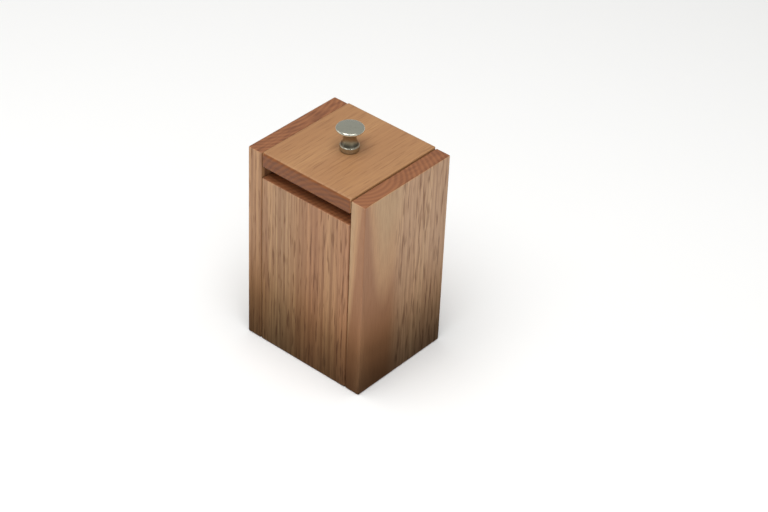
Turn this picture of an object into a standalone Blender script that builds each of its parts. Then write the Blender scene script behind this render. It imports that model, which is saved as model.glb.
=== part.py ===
"""Spin-lock puzzle box, modelled in metres.

An upright oak box stands on the XY plane with its front at -Y. Its lid is let in between the two
side panels. A knob on the lid turns a cam disc in the lock block under the lid, and the disc's
spiral slots drive two bolts into the side panels. Four loose pins lie across the bolts: spinning
the box flings them outwards, which frees the bolts. The model is at rest with the lid down, the
bolts drawn back and the pins flung out.

The origin is the centre of the box's base.
"""
import math

import bpy
from mathutils import Matrix

# Box
HEIGHT = 0.1016
WIDTH = 0.0675
DEPTH = 0.0558
STOCK = 0.0079
FRONT_GAP = 0.0057
BOTTOM_RAISE = 0.0030
BOTTOM_THICKNESS = 0.0048
GROOVE_DEPTH = 0.0025
EDGE_EASE = 0.0006
CLEAT_SIZE = 0.0060

# Lid
LID_PROUD = 0.0006
LID_THICKNESS = 0.0076
LID_SIDE_CLEARANCE = 0.0004
LID_FRONT_ROUND = 0.0016

# Lock block and its cover
BLOCK_CLEARANCE = 0.0005
WEB_THICKNESS = 0.0030
COVER_THICKNESS = 0.0030
COVER_SCREW_LENGTH = 0.0090
COVER_SCREW_TIP = 0.0018
COVER_SCREW_SHANK_RADIUS = 0.0014
COVER_SCREW_HEAD_RADIUS = 0.0026
COVER_SCREW_HEAD_HEIGHT = 0.0014
COVER_SCREW_LAND = 0.0002
COVER_SCREW_INSET = 0.0038

# Knob and spindle
KNOB_HEIGHT = 0.0120
KNOB_RADIUS = 0.00635
KNOB_BASE_RADIUS = 0.0044
KNOB_BASE_HEIGHT = 0.0026
KNOB_NECK_RADIUS = 0.0029
KNOB_SOCKET_DEPTH = 0.0068
KNOB_CROWN_DROP = 0.00018
KNOB_RIM_RADIUS = 0.0008
KNOB_RIM_DROP = 0.0014
KNOB_EDGE_RADIUS = 0.0004
KNOB_HEAD_FLARE = 0.72
KNOB_BASE_FLARE = 0.9
SMALL_CHAMFER = 0.0003
SPINDLE_RADIUS = 0.0020
SPINDLE_HEAD_RADIUS = 0.0038
SPINDLE_HEAD_HEIGHT = 0.0020
BUSH_WALL = 0.0011
WASHER_RADIUS = 0.0040
WASHER_THICKNESS = 0.0008
NUT_ACROSS_FLATS = 0.0070

# Cam disc, bolts and drive pegs
DISC_THICKNESS = 0.0032
DISC_RIM = 0.0018
BOLT_THROW = 0.0040
BOLT_WIDTH = 0.0090
BOLT_HEIGHT = 0.0040
BOLT_SETBACK = 0.0003
PEG_RADIUS = 0.0011
PEG_EDGE = 0.0009
MORTISE_SPARE = 0.0006
KNOB_TURN = math.radians(90.0)

# Lock pins
PIN_RADIUS = 0.00125
PLUG_LENGTH = 0.0040
PIN_TRAVEL = 0.0025
PIN_STANDOFF = 0.0005
PIN_WALL = 0.0020

# Clearances
GLUE_GAP = 0.0003
RUNNING_CLEARANCE = 0.0001
BOLT_CLEARANCE = 0.00015
PIN_CLEARANCE = 0.0002
SCREW_CLEARANCE = 0.00015
CUT_OVERRUN = 0.0010

# Fineness of round shapes
TURN_SEGMENTS = 40
HOLE_SEGMENTS = 24
POCKET_SEGMENTS = 64
SLOT_STEPS = 16
NECK_STEPS = 8
MERGE_DISTANCE = 0.00001

# Places that follow from the sizes above
INNER_X = WIDTH / 2 - STOCK
INNER_Y = DEPTH / 2 - STOCK
FLOOR_TOP = BOTTOM_RAISE + BOTTOM_THICKNESS
LID_TOP = HEIGHT + LID_PROUD
LID_BOTTOM = LID_TOP - LID_THICKNESS
FRONT_TOP = LID_BOTTOM - FRONT_GAP
BLOCK_TOP = LID_BOTTOM - GLUE_GAP
POCKET_ROOF = BLOCK_TOP - WEB_THICKNESS
BOLT_TOP = POCKET_ROOF - PIN_CLEARANCE
BOLT_BOTTOM = BOLT_TOP - BOLT_HEIGHT
BOLT_MIDDLE = (BOLT_TOP + BOLT_BOTTOM) / 2
DISC_TOP = BOLT_BOTTOM - GLUE_GAP
DISC_BOTTOM = DISC_TOP - DISC_THICKNESS
SPINDLE_HEAD_TOP = DISC_BOTTOM - GLUE_GAP
SPINDLE_HEAD_BOTTOM = SPINDLE_HEAD_TOP - SPINDLE_HEAD_HEIGHT
BLOCK_BOTTOM = SPINDLE_HEAD_BOTTOM - GLUE_GAP
COVER_TOP = BLOCK_BOTTOM - GLUE_GAP
COVER_BOTTOM = COVER_TOP - COVER_THICKNESS
CLEAT_TOP = COVER_BOTTOM - GLUE_GAP
BLOCK_X = INNER_X - BLOCK_CLEARANCE
BLOCK_Y = INNER_Y - BLOCK_CLEARANCE
KNOB_SEAT = LID_TOP + GLUE_GAP
NUT_RADIUS = NUT_ACROSS_FLATS / math.sqrt(3)
BOLT_INNER_X = NUT_RADIUS + BLOCK_CLEARANCE
BOLT_OUTER_X = BLOCK_X - BOLT_SETBACK
PEG_X = BOLT_INNER_X + PEG_EDGE + PEG_RADIUS
SLOT_HALF_WIDTH = PEG_RADIUS + RUNNING_CLEARANCE
DISC_RADIUS = PEG_X + BOLT_THROW + SLOT_HALF_WIDTH + DISC_RIM
POCKET_RADIUS = DISC_RADIUS + BLOCK_CLEARANCE
BORE_RADIUS = PIN_RADIUS + PIN_CLEARANCE
PIN_X = POCKET_RADIUS + PIN_WALL + BORE_RADIUS
PIN_INNER_Y = BOLT_WIDTH / 2 + PIN_STANDOFF
PLUG_INNER_Y = BLOCK_Y - PLUG_LENGTH
PIN_OUTER_Y = PLUG_INNER_Y - PIN_STANDOFF


# ---------------------------------------------------------------- scene and materials

def clear_scene():
    for item in list(bpy.data.objects):
        bpy.data.objects.remove(item, do_unlink=True)


def new_collection(name):
    collection = bpy.data.collections.new(name)
    bpy.context.scene.collection.children.link(collection)
    return collection


def new_material(name, color, roughness, metallic=0.0):
    material = bpy.data.materials.new(name)
    material.use_nodes = True
    shader = material.node_tree.nodes["Principled BSDF"]
    shader.inputs["Base Color"].default_value = (*color, 1.0)
    shader.inputs["Roughness"].default_value = roughness
    shader.inputs["Metallic"].default_value = metallic
    return material


def make_materials():
    oak = (0.42, 0.22, 0.11)
    pale_oak = (0.48, 0.28, 0.15)
    return {
        "panel": new_material("panel_oak", pale_oak, 0.55),
        "lid": new_material("lid_oak", oak, 0.5),
        "inner": new_material("inner_oak", oak, 0.65),
        "nickel": new_material("nickel", (0.62, 0.60, 0.56), 0.25, 1.0),
        "steel": new_material("steel", (0.45, 0.45, 0.46), 0.35, 1.0),
        "brass": new_material("brass", (0.78, 0.57, 0.26), 0.3, 1.0),
    }


# ---------------------------------------------------------------- modelling helpers

class Workshop:
    """Holds the collections and materials, and makes each kind of solid."""

    def __init__(self):
        self.parts = new_collection("spin_lock_puzzle_box")
        self.cutters = new_collection("cutters")
        self.materials = make_materials()

    def adopt(self, item, name, material):
        """Name an object and file it as a part, or as a cutter where it has no material."""
        item.name = name
        item.data.name = name
        for collection in list(item.users_collection):
            collection.objects.unlink(item)
        if material is None:
            self.cutters.objects.link(item)
            item.hide_render = True
            item.display_type = "WIRE"
        else:
            self.parts.objects.link(item)
            item.data.materials.append(self.materials[material])
        return item

    def box(self, name, low, high, material=None, ease=0.0):
        """A box between two corners, its origin in the middle and its edges eased."""
        center = [(a + b) / 2 for a, b in zip(low, high)]
        bpy.ops.mesh.primitive_cube_add(size=1.0, location=center)
        item = bpy.context.active_object
        item.scale = [b - a for a, b in zip(low, high)]
        bpy.ops.object.transform_apply(location=False, rotation=False, scale=True)
        self.adopt(item, name, material)
        if ease > 0.0:
            ease_edges(item, ease)
        return item

    def rod(self, name, radius, start, end, material=None, segments=HOLE_SEGMENTS):
        """A cylinder from one point to another along Y or Z."""
        length = math.dist(start, end)
        center = [(a + b) / 2 for a, b in zip(start, end)]
        along_y = abs(end[1] - start[1]) > abs(end[2] - start[2])
        turn = (math.pi / 2, 0.0, 0.0) if along_y else (0.0, 0.0, 0.0)
        bpy.ops.mesh.primitive_cylinder_add(
            vertices=segments, radius=radius, depth=length, location=center, rotation=turn)
        item = bpy.context.active_object
        item.data.shade_smooth()
        item.data.set_sharp_from_angle(angle=math.radians(40.0))
        return self.adopt(item, name, material)

    def turned(self, name, profile, location, material=None, segments=TURN_SEGMENTS):
        """A solid of revolution about Z, from a profile that runs down its outer side."""
        mesh = bpy.data.meshes.new(name)
        points = [(radius, 0.0, height) for radius, height in profile]
        edges = [(i, i + 1) for i in range(len(points) - 1)]
        mesh.from_pydata(points, edges, [])
        item = bpy.data.objects.new(name, mesh)
        item.location = location
        screw = item.modifiers.new("Turn", "SCREW")
        screw.steps = segments
        screw.render_steps = segments
        screw.use_merge_vertices = True
        screw.merge_threshold = MERGE_DISTANCE
        return self.adopt(item, name, material)

    def plate(self, name, outlines, low_z, high_z, material):
        """A flat plate on the Z axis: the first outline is its edge, the others are holes."""
        curve = bpy.data.curves.new(name, "CURVE")
        curve.dimensions = "2D"
        curve.fill_mode = "BOTH"
        curve.extrude = (high_z - low_z) / 2
        for outline in outlines:
            spline = curve.splines.new("POLY")
            spline.points.add(len(outline) - 1)
            for point, (x, y) in zip(spline.points, outline):
                point.co = (x, y, 0.0, 1.0)
            spline.use_cyclic_u = True
        item = bpy.data.objects.new(name, curve)
        item.location = (0.0, 0.0, (low_z + high_z) / 2)
        return self.adopt(item, name, material)


def ease_edges(item, width):
    bevel = item.modifiers.new("Eased edges", "BEVEL")
    bevel.width = width
    bevel.segments = 2
    bevel.limit_method = "ANGLE"


def cut(item, *cutters):
    for cutter in cutters:
        boolean = item.modifiers.new("Cut " + cutter.name, "BOOLEAN")
        boolean.operation = "DIFFERENCE"
        boolean.solver = "EXACT"
        boolean.object = cutter


def circle(radius, count):
    steps = [2 * math.pi * i / count for i in range(count)]
    return [(radius * math.cos(a), radius * math.sin(a)) for a in steps]


def frame_empty(shop, name, location, items):
    """An empty on a joint's axis, which carries the pieces that move together."""
    empty = bpy.data.objects.new(name, None)
    empty.location = location
    empty.empty_display_size = STOCK
    shop.parts.objects.link(empty)
    for item in items:
        item.parent = empty
        item.matrix_parent_inverse = Matrix.Translation(location).inverted()
    return empty


# ---------------------------------------------------------------- box

def groove_cutter(shop):
    """The groove that holds the bottom board, let into all four walls."""
    reach_x = INNER_X + GROOVE_DEPTH
    reach_y = INNER_Y + GROOVE_DEPTH
    low = (-reach_x, -reach_y, BOTTOM_RAISE - GLUE_GAP)
    high = (reach_x, reach_y, FLOOR_TOP + GLUE_GAP)
    return shop.box("bottom_groove", low, high)


def mortise_cutter(shop, name, side):
    """The pocket in a side panel that a thrown bolt enters."""
    inner = side * (INNER_X - CUT_OVERRUN)
    outer = side * (BOLT_OUTER_X + BOLT_THROW + MORTISE_SPARE)
    half_width = BOLT_WIDTH / 2 + GLUE_GAP
    low = (min(inner, outer), -half_width, BOLT_BOTTOM - GLUE_GAP)
    high = (max(inner, outer), half_width, BOLT_TOP + GLUE_GAP)
    return shop.box(name, low, high)


def make_side_panel(shop, name, side, groove):
    inner = side * INNER_X
    outer = side * WIDTH / 2
    low = (min(inner, outer), -DEPTH / 2, 0.0)
    high = (max(inner, outer), DEPTH / 2, HEIGHT)
    panel = shop.box(name, low, high, "panel", EDGE_EASE)
    cut(panel, groove, mortise_cutter(shop, name + "_mortise", side))


def make_cross_panel(shop, name, side, top, groove):
    """The front or rear panel, glued between the side panels."""
    inner = side * INNER_Y
    outer = side * DEPTH / 2
    half = INNER_X - GLUE_GAP
    low = (-half, min(inner, outer), 0.0)
    high = (half, max(inner, outer), top)
    panel = shop.box(name, low, high, "panel", EDGE_EASE)
    cut(panel, groove)


def make_bottom(shop):
    half_x = INNER_X + GROOVE_DEPTH - GLUE_GAP
    half_y = INNER_Y + GROOVE_DEPTH - GLUE_GAP
    shop.box("bottom_board", (-half_x, -half_y, BOTTOM_RAISE), (half_x, half_y, FLOOR_TOP), "inner")


def make_cleat(shop, name, side):
    wall = side * (INNER_X - GLUE_GAP)
    inner = side * (INNER_X - GLUE_GAP - CLEAT_SIZE)
    half = INNER_Y - GLUE_GAP
    low = (min(wall, inner), -half, CLEAT_TOP - CLEAT_SIZE)
    high = (max(wall, inner), half, CLEAT_TOP)
    shop.box(name, low, high, "inner", EDGE_EASE)


def make_box(shop):
    groove = groove_cutter(shop)
    make_side_panel(shop, "left_panel", -1, groove)
    make_side_panel(shop, "right_panel", 1, groove)
    make_cross_panel(shop, "front_panel", -1, FRONT_TOP, groove)
    make_cross_panel(shop, "rear_panel", 1, LID_BOTTOM - GLUE_GAP, groove)
    make_bottom(shop)
    make_cleat(shop, "left_cleat", -1)
    make_cleat(shop, "right_cleat", 1)


# ---------------------------------------------------------------- lid and lock block

def round_front_edge(lid):
    """Give the lid's top front edge a larger radius than its other edges."""
    weights = lid.data.attributes.new("bevel_weight_edge", "FLOAT", "EDGE")
    for edge in lid.data.edges:
        ends = [lid.data.vertices[i].co for i in edge.vertices]
        if all(end.y < 0.0 and end.z > 0.0 for end in ends):
            weights.data[edge.index].value = 1.0
    bevel = lid.modifiers.new("Front roundover", "BEVEL")
    bevel.width = LID_FRONT_ROUND
    bevel.segments = 4
    bevel.limit_method = "WEIGHT"


def make_lid_board(shop, bush_hole):
    half_x = INNER_X - LID_SIDE_CLEARANCE
    low = (-half_x, -DEPTH / 2, LID_BOTTOM)
    high = (half_x, DEPTH / 2, LID_TOP)
    lid = shop.box("lid_board", low, high, "lid")
    round_front_edge(lid)
    ease_edges(lid, EDGE_EASE)
    cut(lid, bush_hole)
    return lid


def bolt_channel(shop):
    half_width = BOLT_WIDTH / 2 + BOLT_CLEARANCE
    reach = BLOCK_X + CUT_OVERRUN
    low = (-reach, -half_width, BOLT_BOTTOM - BOLT_CLEARANCE)
    high = (reach, half_width, BOLT_TOP + BOLT_CLEARANCE)
    return shop.box("bolt_channel", low, high)


def pin_bore(shop, name, side):
    reach = BLOCK_Y + CUT_OVERRUN
    start = (side * PIN_X, -reach, BOLT_MIDDLE)
    end = (side * PIN_X, reach, BOLT_MIDDLE)
    return shop.rod(name, BORE_RADIUS, start, end)


def make_lock_block(shop, bush_hole, screw_holes):
    low = (-BLOCK_X, -BLOCK_Y, BLOCK_BOTTOM)
    high = (BLOCK_X, BLOCK_Y, BLOCK_TOP)
    block = shop.box("lock_block", low, high, "inner", EDGE_EASE)
    pocket_start = (0.0, 0.0, BLOCK_BOTTOM - CUT_OVERRUN)
    pocket_end = (0.0, 0.0, POCKET_ROOF)
    pocket = shop.rod("cam_pocket", POCKET_RADIUS, pocket_start, pocket_end,
                      segments=POCKET_SEGMENTS)
    left_bore = pin_bore(shop, "left_pin_bore", -1)
    right_bore = pin_bore(shop, "right_pin_bore", 1)
    cut(block, pocket, bolt_channel(shop), left_bore, right_bore, bush_hole, *screw_holes)
    return block


def make_lock_cover(shop, screw_holes):
    low = (-BLOCK_X, -BLOCK_Y, COVER_BOTTOM)
    high = (BLOCK_X, BLOCK_Y, COVER_TOP)
    cover = shop.box("lock_cover", low, high, "inner", EDGE_EASE)
    cut(cover, *screw_holes)
    return cover


def cover_screw_profile(extra, head_drop):
    """Countersunk wood screw, point up; extra widens it into the cutter for its hole."""
    shank = COVER_SCREW_SHANK_RADIUS + extra
    head = COVER_SCREW_HEAD_RADIUS + extra
    return [
        (0.0, COVER_SCREW_LENGTH + extra),
        (shank, COVER_SCREW_LENGTH - COVER_SCREW_TIP + extra),
        (shank, COVER_SCREW_HEAD_HEIGHT),
        (head, COVER_SCREW_LAND),
        (head, -head_drop),
        (0.0, -head_drop),
    ]


def screw_places():
    x = BLOCK_X - COVER_SCREW_INSET
    y = BLOCK_Y - COVER_SCREW_INSET
    return {
        "front_left": (-x, -y, COVER_BOTTOM),
        "front_right": (x, -y, COVER_BOTTOM),
        "rear_left": (-x, y, COVER_BOTTOM),
        "rear_right": (x, y, COVER_BOTTOM),
    }


def make_screw_holes(shop):
    profile = cover_screw_profile(SCREW_CLEARANCE, CUT_OVERRUN)
    places = screw_places().items()
    return [shop.turned("screw_hole_" + corner, profile, place, segments=HOLE_SEGMENTS)
            for corner, place in places]


def driver_slot(shop, name, location, radius, depth):
    """A screwdriver slot across the underside of a screw head."""
    x, y, z = location
    half = depth * 0.5
    low = (x - radius - CUT_OVERRUN, y - half, z - CUT_OVERRUN)
    high = (x + radius + CUT_OVERRUN, y + half, z + depth)
    return shop.box(name, low, high)


def make_cover_screws(shop):
    screws = []
    for corner, place in screw_places().items():
        name = "cover_screw_" + corner
        profile = cover_screw_profile(0.0, 0.0)
        screw = shop.turned(name, profile, place, "brass", HOLE_SEGMENTS)
        slot_depth = COVER_SCREW_HEAD_HEIGHT / 2
        cut(screw, driver_slot(shop, name + "_slot", place, COVER_SCREW_HEAD_RADIUS, slot_depth))
        screws.append(screw)
    return screws


def make_bush(shop):
    inner = circle(SPINDLE_RADIUS + RUNNING_CLEARANCE, HOLE_SEGMENTS)
    outer = circle(SPINDLE_RADIUS + RUNNING_CLEARANCE + BUSH_WALL, HOLE_SEGMENTS)
    return shop.plate("spindle_bush", [outer, inner], POCKET_ROOF, LID_TOP, "brass")


def make_plugs(shop):
    plugs = []
    for corner, (x, side) in pin_corners().items():
        start = (x, side * PLUG_INNER_Y, BOLT_MIDDLE)
        end = (x, side * BLOCK_Y, BOLT_MIDDLE)
        plug = shop.rod("bore_plug_" + corner, BORE_RADIUS - RUNNING_CLEARANCE, start, end, "inner")
        plugs.append(plug)
    return plugs


def make_lid(shop):
    hole_radius = SPINDLE_RADIUS + BUSH_WALL + 2 * RUNNING_CLEARANCE
    hole_start = (0.0, 0.0, POCKET_ROOF - CUT_OVERRUN)
    hole_end = (0.0, 0.0, LID_TOP + CUT_OVERRUN)
    bush_hole = shop.rod("bush_hole", hole_radius, hole_start, hole_end)
    screw_holes = make_screw_holes(shop)
    pieces = [
        make_lid_board(shop, bush_hole),
        make_lock_block(shop, bush_hole, screw_holes),
        make_lock_cover(shop, screw_holes),
        make_bush(shop),
    ]
    pieces += make_cover_screws(shop)
    pieces += make_plugs(shop)
    frame_empty(shop, "lid_frame", (0.0, 0.0, LID_BOTTOM), pieces)


# ---------------------------------------------------------------- knob, spindle and cam

def arc(center, radius, start_deg, end_deg, steps):
    """Points on a circle in the profile plane, from one angle to another."""
    angles = [math.radians(start_deg + (end_deg - start_deg) * i / steps) for i in range(steps + 1)]
    return [(center[0] + radius * math.cos(a), center[1] + radius * math.sin(a)) for a in angles]


def neck_profile(low_z, high_z):
    """The waist, from under the head down to the base: a curve that flares at both ends."""
    middle = (high_z + low_z) / 2
    half = (high_z - low_z) / 2
    points = []
    for i in range(NECK_STEPS + 1):
        share = 1 - 2 * i / NECK_STEPS
        end = KNOB_RADIUS * KNOB_HEAD_FLARE if share > 0 else KNOB_BASE_RADIUS * KNOB_BASE_FLARE
        radius = KNOB_NECK_RADIUS + (end - KNOB_NECK_RADIUS) * share * share
        points.append((radius, middle + half * share))
    return points


def knob_profile():
    """Mushroom knob: low dome, rounded rim, waisted neck and a round base with a blind socket."""
    rim_center = (KNOB_RADIUS - KNOB_RIM_RADIUS, KNOB_HEIGHT - KNOB_RIM_DROP)
    crown = [(0.0, KNOB_HEIGHT), (KNOB_RADIUS / 2, KNOB_HEIGHT - KNOB_CROWN_DROP)]
    rim = arc(rim_center, KNOB_RIM_RADIUS, 70, -70, 7)
    neck = neck_profile(KNOB_BASE_HEIGHT + KNOB_EDGE_RADIUS, rim_center[1] - KNOB_RIM_RADIUS)
    edge_center = (KNOB_BASE_RADIUS - KNOB_EDGE_RADIUS, KNOB_BASE_HEIGHT - KNOB_EDGE_RADIUS)
    base = arc(edge_center, KNOB_EDGE_RADIUS, 80, 0, 3)
    foot = [(KNOB_BASE_RADIUS, SMALL_CHAMFER), (KNOB_BASE_RADIUS - SMALL_CHAMFER, 0.0)]
    socket = SPINDLE_RADIUS + RUNNING_CLEARANCE
    hole = [(socket, 0.0), (socket, KNOB_SOCKET_DEPTH), (0.0, KNOB_SOCKET_DEPTH)]
    return crown + rim + neck + base + foot + hole


def spindle_profile():
    """Screw from its tip in the knob down to its pan head under the disc."""
    tip = KNOB_SEAT + KNOB_SOCKET_DEPTH - GLUE_GAP
    return [
        (0.0, tip),
        (SPINDLE_RADIUS - SMALL_CHAMFER, tip),
        (SPINDLE_RADIUS, tip - SMALL_CHAMFER),
        (SPINDLE_RADIUS, SPINDLE_HEAD_TOP),
        (SPINDLE_HEAD_RADIUS, SPINDLE_HEAD_TOP),
        (SPINDLE_HEAD_RADIUS, SPINDLE_HEAD_BOTTOM + SMALL_CHAMFER),
        (SPINDLE_HEAD_RADIUS - SMALL_CHAMFER, SPINDLE_HEAD_BOTTOM),
        (0.0, SPINDLE_HEAD_BOTTOM),
    ]


def slot_point(share, offset):
    """A point on the spiral slot's centre line, moved sideways by offset.

    When the disc has turned by an angle, the peg's line meets the slot at that angle behind the
    disc's own X axis, so the slot runs clockwise as its radius grows.
    """
    turn = share * KNOB_TURN
    rise = BOLT_THROW / KNOB_TURN
    radius = PEG_X + rise * turn
    x, y = radius * math.cos(turn), -radius * math.sin(turn)
    along_x = rise * math.cos(turn) - radius * math.sin(turn)
    along_y = -rise * math.sin(turn) - radius * math.cos(turn)
    length = math.hypot(along_x, along_y)
    return x - along_y / length * offset, y + along_x / length * offset, along_x, along_y


def slot_end(share, sign):
    """The half round at one end of the slot."""
    x, y, along_x, along_y = slot_point(share, 0.0)
    start = math.atan2(along_y, along_x) + sign * math.pi / 2
    count = HOLE_SEGMENTS // 2
    angles = [start - math.pi * i / count for i in range(1, count)]
    reach = SLOT_HALF_WIDTH
    return [(x + reach * math.cos(a), y + reach * math.sin(a)) for a in angles]


def slot_outline(half_turn):
    """Closed outline of one slot; half_turn puts it on the other side of the disc."""
    shares = [i / SLOT_STEPS for i in range(SLOT_STEPS + 1)]
    left = [slot_point(share, SLOT_HALF_WIDTH)[:2] for share in shares]
    right = [slot_point(share, -SLOT_HALF_WIDTH)[:2] for share in reversed(shares)]
    outline = left + slot_end(1.0, 1) + right + slot_end(0.0, -1)
    sign = -1 if half_turn else 1
    return [(sign * x, sign * y) for x, y in outline]


def make_cam_disc(shop):
    rim = circle(DISC_RADIUS, POCKET_SEGMENTS)
    hole = circle(SPINDLE_RADIUS + RUNNING_CLEARANCE, HOLE_SEGMENTS)
    outlines = [rim, hole, slot_outline(False), slot_outline(True)]
    return shop.plate("cam_disc", outlines, DISC_BOTTOM, DISC_TOP, "steel")


def make_washer_and_nut(shop):
    hole = circle(SPINDLE_RADIUS + RUNNING_CLEARANCE, HOLE_SEGMENTS)
    washer_top = POCKET_ROOF - GLUE_GAP
    washer_bottom = washer_top - WASHER_THICKNESS
    washer = shop.plate("thrust_washer", [circle(WASHER_RADIUS, HOLE_SEGMENTS), hole],
                        washer_bottom, washer_top, "brass")
    nut = shop.plate("clamp_nut", [circle(NUT_RADIUS, 6), hole],
                     DISC_TOP + GLUE_GAP, washer_bottom - GLUE_GAP, "steel")
    return [washer, nut]


def make_knob(shop):
    knob = shop.turned("knob", knob_profile(), (0.0, 0.0, KNOB_SEAT), "nickel")
    spindle = shop.turned("spindle_screw", spindle_profile(), (0.0, 0.0, 0.0), "steel",
                          HOLE_SEGMENTS)
    head = (0.0, 0.0, SPINDLE_HEAD_BOTTOM)
    slot_depth = SPINDLE_HEAD_HEIGHT / 2
    cut(spindle, driver_slot(shop, "spindle_slot", head, SPINDLE_HEAD_RADIUS, slot_depth))
    pieces = [knob, spindle, make_cam_disc(shop)] + make_washer_and_nut(shop)
    frame_empty(shop, "knob_axis", (0.0, 0.0, LID_TOP), pieces)


# ---------------------------------------------------------------- bolts and lock pins

def bolt_cutters(shop, name, side):
    """The peg's hole, and the pins' holes for the bolt drawn back and thrown."""
    peg_start = (side * PEG_X, 0.0, BOLT_BOTTOM - CUT_OVERRUN)
    peg_end = (side * PEG_X, 0.0, BOLT_TOP + CUT_OVERRUN)
    peg_hole = shop.rod(name + "_peg_hole", PEG_RADIUS + RUNNING_CLEARANCE, peg_start, peg_end)
    cutters = [peg_hole]
    inner = PIN_INNER_Y - PIN_TRAVEL - GLUE_GAP
    outer = BOLT_WIDTH / 2 + CUT_OVERRUN
    places = {"drawn": PIN_X, "thrown": PIN_X - BOLT_THROW}
    for state, x in places.items():
        for face, front in (("front", -1), ("rear", 1)):
            start = (side * x, front * inner, BOLT_MIDDLE)
            end = (side * x, front * outer, BOLT_MIDDLE)
            cutters.append(shop.rod(f"{name}_{state}_{face}_hole", BORE_RADIUS, start, end))
    return cutters


def make_bolt(shop, name, side):
    inner = side * BOLT_INNER_X
    outer = side * BOLT_OUTER_X
    low = (min(inner, outer), -BOLT_WIDTH / 2, BOLT_BOTTOM)
    high = (max(inner, outer), BOLT_WIDTH / 2, BOLT_TOP)
    bolt = shop.box(name + "_bolt", low, high, "brass", EDGE_EASE / 2)
    cut(bolt, *bolt_cutters(shop, name, side))
    peg_start = (side * PEG_X, 0.0, DISC_BOTTOM + GLUE_GAP)
    peg_end = (side * PEG_X, 0.0, BOLT_TOP - GLUE_GAP)
    peg = shop.rod(name + "_drive_peg", PEG_RADIUS, peg_start, peg_end, "steel")
    frame_empty(shop, name + "_bolt_axis", (side * PEG_X, 0.0, BOLT_MIDDLE), [bolt, peg])


def pin_corners():
    """Each pin's X place, and the side of the box in Y that it is flung towards."""
    return {
        "front_left": (-PIN_X, -1),
        "front_right": (PIN_X, -1),
        "rear_left": (-PIN_X, 1),
        "rear_right": (PIN_X, 1),
    }


def make_lock_pins(shop):
    for corner, (x, side) in pin_corners().items():
        start = (x, side * PIN_INNER_Y, BOLT_MIDDLE)
        end = (x, side * PIN_OUTER_Y, BOLT_MIDDLE)
        shop.rod("lock_pin_" + corner, PIN_RADIUS, start, end, "steel")


def main():
    clear_scene()
    shop = Workshop()
    make_box(shop)
    make_lid(shop)
    make_knob(shop)
    make_bolt(shop, "left", -1)
    make_bolt(shop, "right", 1)
    make_lock_pins(shop)


if __name__ == "__main__":
    main()
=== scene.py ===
"""Spin-lock puzzle box: the finished pieces, their woods and metals, and a small studio."""
import math

import bmesh
import bpy
from bpy.props import FloatProperty, FloatVectorProperty, IntProperty, PointerProperty
from mathutils import Matrix, Vector


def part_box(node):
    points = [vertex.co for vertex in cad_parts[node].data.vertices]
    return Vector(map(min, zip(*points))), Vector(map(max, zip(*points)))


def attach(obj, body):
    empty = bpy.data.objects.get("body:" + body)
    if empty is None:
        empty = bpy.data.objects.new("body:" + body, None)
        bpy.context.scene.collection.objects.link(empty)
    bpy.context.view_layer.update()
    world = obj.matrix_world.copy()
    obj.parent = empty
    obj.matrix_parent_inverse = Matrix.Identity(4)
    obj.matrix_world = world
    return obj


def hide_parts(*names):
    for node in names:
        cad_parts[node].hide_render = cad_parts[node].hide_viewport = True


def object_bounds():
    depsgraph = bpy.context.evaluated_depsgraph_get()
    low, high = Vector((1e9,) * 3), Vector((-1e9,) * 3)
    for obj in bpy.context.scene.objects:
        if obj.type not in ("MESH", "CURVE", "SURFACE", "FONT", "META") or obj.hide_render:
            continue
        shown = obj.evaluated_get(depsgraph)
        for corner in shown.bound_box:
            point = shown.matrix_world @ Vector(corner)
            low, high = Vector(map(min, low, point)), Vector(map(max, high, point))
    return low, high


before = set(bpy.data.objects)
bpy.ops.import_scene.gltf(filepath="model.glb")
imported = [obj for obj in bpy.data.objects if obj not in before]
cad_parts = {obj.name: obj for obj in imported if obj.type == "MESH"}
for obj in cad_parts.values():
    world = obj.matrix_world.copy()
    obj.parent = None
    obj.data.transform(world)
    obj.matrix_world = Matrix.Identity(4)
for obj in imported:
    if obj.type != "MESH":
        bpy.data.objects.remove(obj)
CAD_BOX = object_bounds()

bl_info = {
    "name": "Spin-lock puzzle box",
    "version": (1, 0, 0),
    "blender": (4, 5, 0),
    "location": "3D View > Sidebar > Puzzle Box",
    "description": "Builds the oak puzzle box, its knob and hidden lock, and a studio around it",
    "category": "Object",
}

CORNERS = ("front_left", "front_right", "rear_left", "rear_right")

# Mesh building, in metres and radians
MERGE_DISTANCE = 1e-6
FLAT_ANGLE = math.radians(0.5)
SHARP_ANGLE = math.radians(42.0)
END_GRAIN_NORMAL = 0.8
THREAD_STEPS = 8
EDGE_STEPS = 6

# The knob's outline: how far its crown falls, and its flares as shares of the head and the base
CROWN_DROP = 0.00018
CROWN_SHARE = 0.5
CROWN_STEPS = 8
HEAD_FLARE = 0.72
BASE_FLARE = 0.9
NECK_STEPS = 24
RIM_STEPS = 16
SHOULDER_STEPS = 8
FOOT_SHARE = 0.75

# Cover screws: lands and points in metres, the rest as shares of the head's height and the shank
SCREW_LAND = 0.00005
SCREW_CONE_START = 0.15
SCREW_THREAD_START = 1.4
SCREW_POINT_SHARE = 0.2
SCREW_POINT_HEIGHT = 0.0001

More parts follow.
